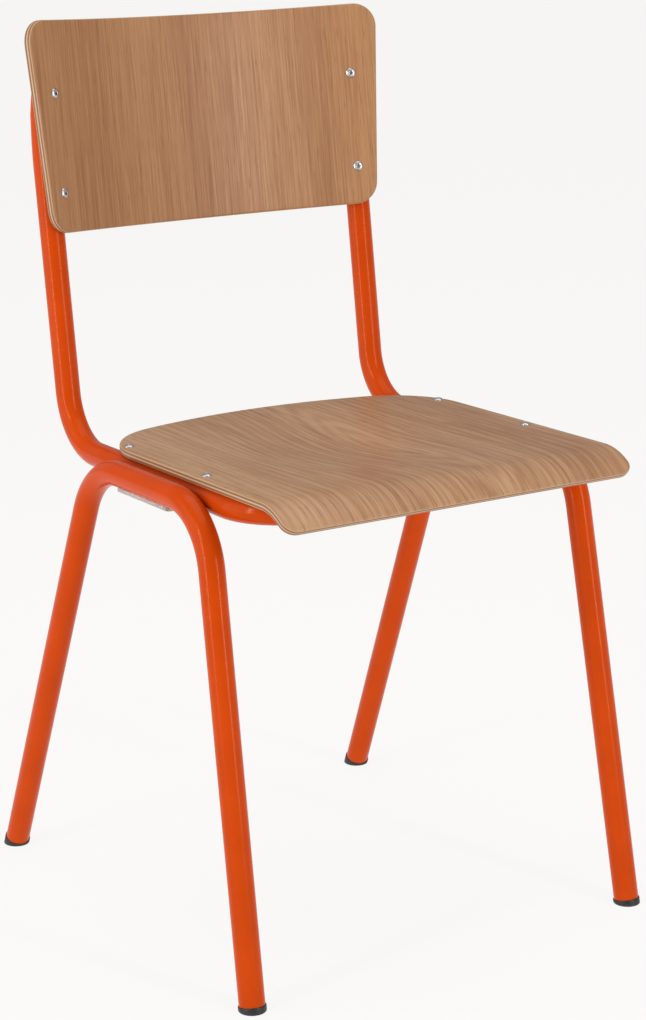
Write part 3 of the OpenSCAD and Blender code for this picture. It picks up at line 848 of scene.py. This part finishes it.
def makeBackrest():
    height, corner = backrest["height"], backrest["corner"]
    slope = atan((backrest["topHalf"] - backrest["bottomHalf"]) / height)
    low = (backrest["bottomHalf"] + corner * tan(slope) - corner / cos(slope), corner)
    high = (backrest["bottomHalf"] + (height - corner) * tan(slope) - corner / cos(slope), height - corner)
    side = corner * Vector((cos(slope), -sin(slope)))

    piece = startPoint("backrestBoard", (0, 0, 0))
    drawLine((0, 0), (low[0], 0))
    drawArc(low, 90 - degrees(slope), 12)
    drawLine(Vector(low) + side, Vector(high) + side)
    drawArc(high, 90 + degrees(slope), 12)
    drawLine((high[0], height), (0, height))
    outlineToBoard(piece)

    middle = backrest["radius"] + chair["plyThickness"] / 2

    def shape(x, y, depth):
        angle, radius = x / middle, backrest["radius"] + depth
        return leanPoint(radius * sin(angle), backAxisY + radius * cos(angle), backrest["bottomHeight"] + y)

    bendBoard(piece, shape)
    faceOutwards(piece)
    smoothPiece(piece, 50)
    finishPiece(piece, ["backrest_panel"], backOak)
    print("backrest made,", len(piece.data.polygons), "faces")


rivet = {
    "shank": 0.0024,
    "headRadius": 0.0045,
    "headHeight": 0.0015,
    "boreRadius": 0.0013,
    "bulb": 0.0008,
    "bulbLength": 0.005,
    "chamfer": 0.001,
    "mouthDepth": 0.001,
    "steps": 32,
    "lowerHeight": 0.62906,     # along the lean, from the floor
    "upperHeight": 0.71556,
    "clearance": 0.0001,
}
# head from its rim to the mouth of the bore: shares of the radius and of the height
headCurve = [(1.0, 0.0), (1.0, 0.16), (0.965, 0.34), (0.88, 0.56), (0.76, 0.76), (0.64, 0.90),
             (0.54, 0.98), (0.44, 1.0), (0.36, 0.94), (0.31, 0.80)]


def makeRivet(name, bulbTop, bulbEnd):
    # turned round Z, with the underside of its head at z = 0
    shank, bore, bulb = rivet["shank"], rivet["boreRadius"], rivet["shank"] + rivet["bulb"]
    head = [(share * rivet["headRadius"], rise * rivet["headHeight"]) for share, rise in headCurve]
    chamfer = rivet["chamfer"]
    profile = [(bore, bulbEnd), (shank, bulbEnd), (bulb, bulbEnd + chamfer), (bulb, bulbTop - chamfer),
               (shank, bulbTop), (shank, 0)] + head + [(bore, -rivet["mouthDepth"]), (bore, bulbEnd)]
    piece = startPoint(name, (profile[0][0], 0, profile[0][1]))
    for before, after in zip(profile, profile[1:]):
        bpy.ops.mesh.extrude_region_move(TRANSFORM_OT_translate={
            "value": (after[0] - before[0], 0, after[1] - before[1])})
    bpy.ops.mesh.select_all(action="SELECT")
    bpy.ops.mesh.spin(steps=rivet["steps"], angle=2 * pi, center=(0, 0, 0), axis=(0, 0, 1))
    leaveMesh()
    faceOutwards(piece)
    smoothPiece(piece, 35)
    return piece


def findBore(piece):
    # the walls of the bore, up to its mouth
    reach = 1.04 * rivet["boreRadius"]
    return [face.index for face in piece.data.polygons if face.center.xy.length < reach]


def finishRivet(piece, node, boreFaces):
    smoothPiece(piece, 35)
    finishPiece(piece, [node], rivetAluminium)
    # the bore's walls, aluminium in the real rivet, take the near-black steel as painted shade in the hole
    piece.data.materials.append(stemSteelAndBoreShade)
    for index in boreFaces:
        piece.data.polygons[index].material_index = 1


def makeRivets():
    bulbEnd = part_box("seat_rivet_front_left")[0].z - chair["seatTop"]
    bulbTop = bulbEnd + rivet["bulbLength"]
    seatModel = makeRivet("rivetModel", bulbTop, bulbEnd)
    boreFaces = findBore(seatModel)
    for place in ("front", "rear"):
        for name, side in sides.items():
            node = f"seat_rivet_{place}_{name}"
            low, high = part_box(node)
            piece = copyPiece(seatModel, f"seatRivet{place.title()}{name.title()}")
            settle(piece, (side * chair["railX"], (low.y + high.y) / 2, chair["seatTop"]))
            finishRivet(piece, node, boreFaces)
    bpy.data.objects.remove(seatModel)

    # an upper rivet's bulb lies against the pressed end of the tube
    grip = backReach - backrest["radius"]
    pressSlope = (mainTube["gentleThickness"] - mainTube["pressedThickness"]) \
        / (mainTube["pressedLength"] * (1 - mainTube["gentleShare"]))
    share = 1 - (mainTube["endHeight"] - rivet["upperHeight"]) / mainTube["pressedLength"]
    pressedTop = chair["tubeRadius"] - pressedThickness(share) - pressSlope * rivet["shank"]
    bulbTops = {"lower": bulbTop, "upper": pressedTop - rivet["clearance"] - grip}
    for place, top in bulbTops.items():
        backModel = makeRivet("backRivetModel", top, top - rivet["bulbLength"])
        for name, side in sides.items():
            piece = copyPiece(backModel, f"backRivet{place.title()}{name.title()}")
            settle(piece, (0, 0, grip))
            settle(piece, (0, 0, 0), (pi / 2, 0, 0))
            settle(piece, (side * chair["railX"], 0, rivet[place + "Height"]), (0, 0, -side * backTurn))
            settle(piece, leanFoot, (-radians(chair["lean"]), 0, 0))
            finishRivet(piece, f"back_rivet_{place}_{name}", boreFaces)
        bpy.data.objects.remove(backModel)
    # the stems take the near-black steel: their own darker steel, deepened as painted shade for the rivet
    # holes
    for node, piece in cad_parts.items():
        if "_stem_" in node:
            piece.data.materials.clear()
            piece.data.materials.append(stemSteelAndBoreShade)
    print("rivets made")


weld = {
    "radius": 0.0030,
    "length": 0.026,
    "above": 0.0050,            # of each bead, from the middle of the pair
    "ripples": 14,
    "swell": 1.10,
    "tip": 0.45,
    "startGrow": 1.9,
    "endShrink": 0.5,
    "around": 20,
}


def makeWelds():
    # a bead is a row of overlapping puddles, drawn out along the groove
    clearSelection()
    bpy.ops.mesh.primitive_circle_add(
        vertices=weld["around"], radius=weld["radius"] * weld["tip"], rotation=(pi / 2, 0, 0))
    bead = namePiece("weldBead")
    bpy.ops.object.transform_apply(location=True, rotation=True, scale=True)
    bpy.ops.object.mode_set(mode="EDIT")
    bpy.ops.mesh.select_all(action="SELECT")
    count = 2 * weld["ripples"]
    step = weld["length"] / count
    endGrows = {0: weld["startGrow"], count - 1: weld["endShrink"]}
    bpy.ops.mesh.edge_face_add()
    for index in range(count):
        grow = endGrows.get(index, weld["swell"] if index % 2 else 1 / weld["swell"])
        bpy.ops.mesh.extrude_region_move(TRANSFORM_OT_translate={"value": (0, -step, 0)})
        bpy.ops.transform.resize(value=(grow, 1, grow))
    leaveMesh()
    settle(bead, (0, weld["length"] / 2, 0))
    faceOutwards(bead)
    for end in ends:
        low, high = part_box(f"right_{end}_weld")
        middle = (low + high) / 2
        beads = []
        for up in (-1, 1):
            beads.append(copyPiece(bead, "weldHalf"))
            settle(beads[-1], (middle.x, middle.y, middle.z + up * weld["above"]))
        piece = joinPieces(beads, end + "RightWeld")
        smoothPiece(piece, 60)
        twin = mirrorPiece(piece, end + "LeftWeld")
        smoothPiece(twin, 60)
        finishPiece(piece, [f"right_{end}_weld"], orangePaint)
        finishPiece(twin, [f"left_{end}_weld"], orangePaint)
    bpy.data.objects.remove(bead)
    print("welds made")


pad = {
    "length": 0.085,
    "width": 0.012,
    "thickness": 0.0018,
    "lugLength": 0.010,
    "lugExtra": 0.001,
    "lugAround": 40,
    "strips": 12,
    "edge": 0.0004,
}


def makePads():
    radius = chair["tubeRadius"]
    low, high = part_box("right_stacking_pad")
    middleY = (low.y + high.y) / 2
    clearSelection()
    bpy.ops.mesh.primitive_cube_add(size=1, location=(0, middleY, -radius - pad["thickness"] / 2),
                                    scale=(pad["width"], pad["length"], pad["thickness"]))
    strip = namePiece("padStrip")
    bpy.ops.object.transform_apply(location=True, rotation=True, scale=True)
    enterMesh(strip)
    # cut along its length, so that the upper face can follow the tube
    for cut in range(1, pad["strips"]):
        spot = pad["width"] * (cut / pad["strips"] - 0.5)
        cutThrough((spot, 0, 0), (1, 0, 0))
    leaveMesh()
    for vertex in strip.data.vertices:
        if vertex.co.z > -radius - pad["thickness"] / 2:
            vertex.co.z = -sqrt(radius ** 2 - vertex.co.x ** 2)
    pieces = [strip]
    for end in ends.values():
        spot = middleY + end * (pad["length"] - pad["lugLength"]) / 2
        clearSelection()
        bpy.ops.mesh.primitive_cylinder_add(
            vertices=pad["lugAround"], radius=pad["width"] / 3, depth=pad["lugExtra"] + pad["thickness"],
            location=(0, spot, -radius - (pad["thickness"] + pad["lugExtra"]) / 2))
        pieces.append(namePiece("padLug"))
        bpy.ops.object.transform_apply(location=True, rotation=True, scale=True)
    for piece in pieces:
        enterMesh(piece)
        selectPart(piece, "EDGE", lambda edge: edge.calc_face_angle(0) > 0.7)
        bpy.ops.mesh.bevel(offset=pad["edge"], segments=3, affect="EDGES")
        leaveMesh()
    piece = joinPieces(pieces, "rightStackingPad")
    settle(piece, (legX, 0, legZ), (0, -splay, 0))
    faceOutwards(piece)
    smoothPiece(piece, 35)
    twin = mirrorPiece(piece, "leftStackingPad")
    smoothPiece(twin, 35)
    finishPiece(piece, ["right_stacking_pad"], padPlastic)
    finishPiece(twin, ["left_stacking_pad"], padPlastic)
    print("pads made")


makeMainTube()
makeLegTubes()
makeFootCaps()
makeSeat()
makeBackrest()
makeRivets()
makeWelds()
makePads()


studio = {
    "floorSize": 120,
    "floorColour": (0.08, 0.08, 0.08),
    "floorRoughness": 0.9,
    "floorGlow": 0.89,
    "floorGlowColour": (1.0, 0.990, 0.972),
    "world": (0.38, 0.38, 0.39),
    "lightAim": (0, 0, 0.45),
    # name, place, size in metres and power in watts
    "lights": (
        ("broadSoftboxLeft", (-3.0, 0.9, 1.3), (2.2, 2.6), 22),
        ("stripLeft", (-2.60, -0.55, 1.15), (0.26, 2.3), 34),
        ("stripRight", (0.75, -2.55, 1.15), (0.26, 2.3), 34),
        ("overhead", (0.2, 0.0, 3.2), (2.6, 2.6), 33),
    ),
    "cameraPlace": (-1.1230, -1.8439, 0.8921),
    "azimuth": -31.69,
    "elevation": 14.19,
    "roll": -1.27,
    "lens": 88.58,
    "sensorWidth": 36,
    "farthest": 400,
}


def makeFloor():
    clearSelection()
    bpy.ops.mesh.primitive_plane_add(size=studio["floorSize"], location=(0, 0, 0))
    floor = namePiece("paleFloor")
    bpy.ops.object.transform_apply(location=True, rotation=True, scale=True)
    material, nodes, links, shader = newMaterial("paleFloorPaint")
    shader.inputs["Base Color"].default_value = (*studio["floorColour"], 1)
    shader.inputs["Roughness"].default_value = studio["floorRoughness"]
    shader.inputs["Specular IOR Level"].default_value = 0.0
    shader.inputs["Emission Color"].default_value = (*studio["floorGlowColour"], 1)
    shader.inputs["Emission Strength"].default_value = studio["floorGlow"]
    floor.data.materials.append(material)


def addSoftbox(name, place, size, power):
    clearSelection()
    way = Vector(studio["lightAim"]) - Vector(place)
    turn = way.to_track_quat("-Z", "Y").to_euler()
    bpy.ops.object.light_add(type="AREA", location=place, rotation=turn)
    light = bpy.context.object
    light.name = light.data.name = name
    light.data.shape = "RECTANGLE"
    light.data.size, light.data.size_y = size
    light.data.energy = power


def makeLights():
    world = bpy.data.worlds.new("studioWorld")
    bpy.context.scene.world = world
    world.use_nodes = True
    background = world.node_tree.nodes["Background"]
    background.inputs["Color"].default_value = (*studio["world"], 1)
    background.inputs["Strength"].default_value = 1.0
    for name, place, size, power in studio["lights"]:
        addSoftbox(name, place, size, power)


def makeCamera():
    turn = Matrix.Rotation(radians(studio["azimuth"]), 4, "Z") \
        @ Matrix.Rotation(radians(90 - studio["elevation"]), 4, "X") \
        @ Matrix.Rotation(radians(studio["roll"]), 4, "Z")
    clearSelection()
    bpy.ops.object.camera_add(location=studio["cameraPlace"], rotation=turn.to_euler())
    camera = bpy.context.object
    camera.name = "chairCamera"
    camera.data.lens = studio["lens"]
    camera.data.sensor_width = studio["sensorWidth"]
    camera.data.clip_end = studio["farthest"]
    bpy.context.scene.camera = camera
    bpy.context.scene.view_settings.view_transform = "Standard"


makeFloor()
makeLights()
makeCamera()
print("studio made")
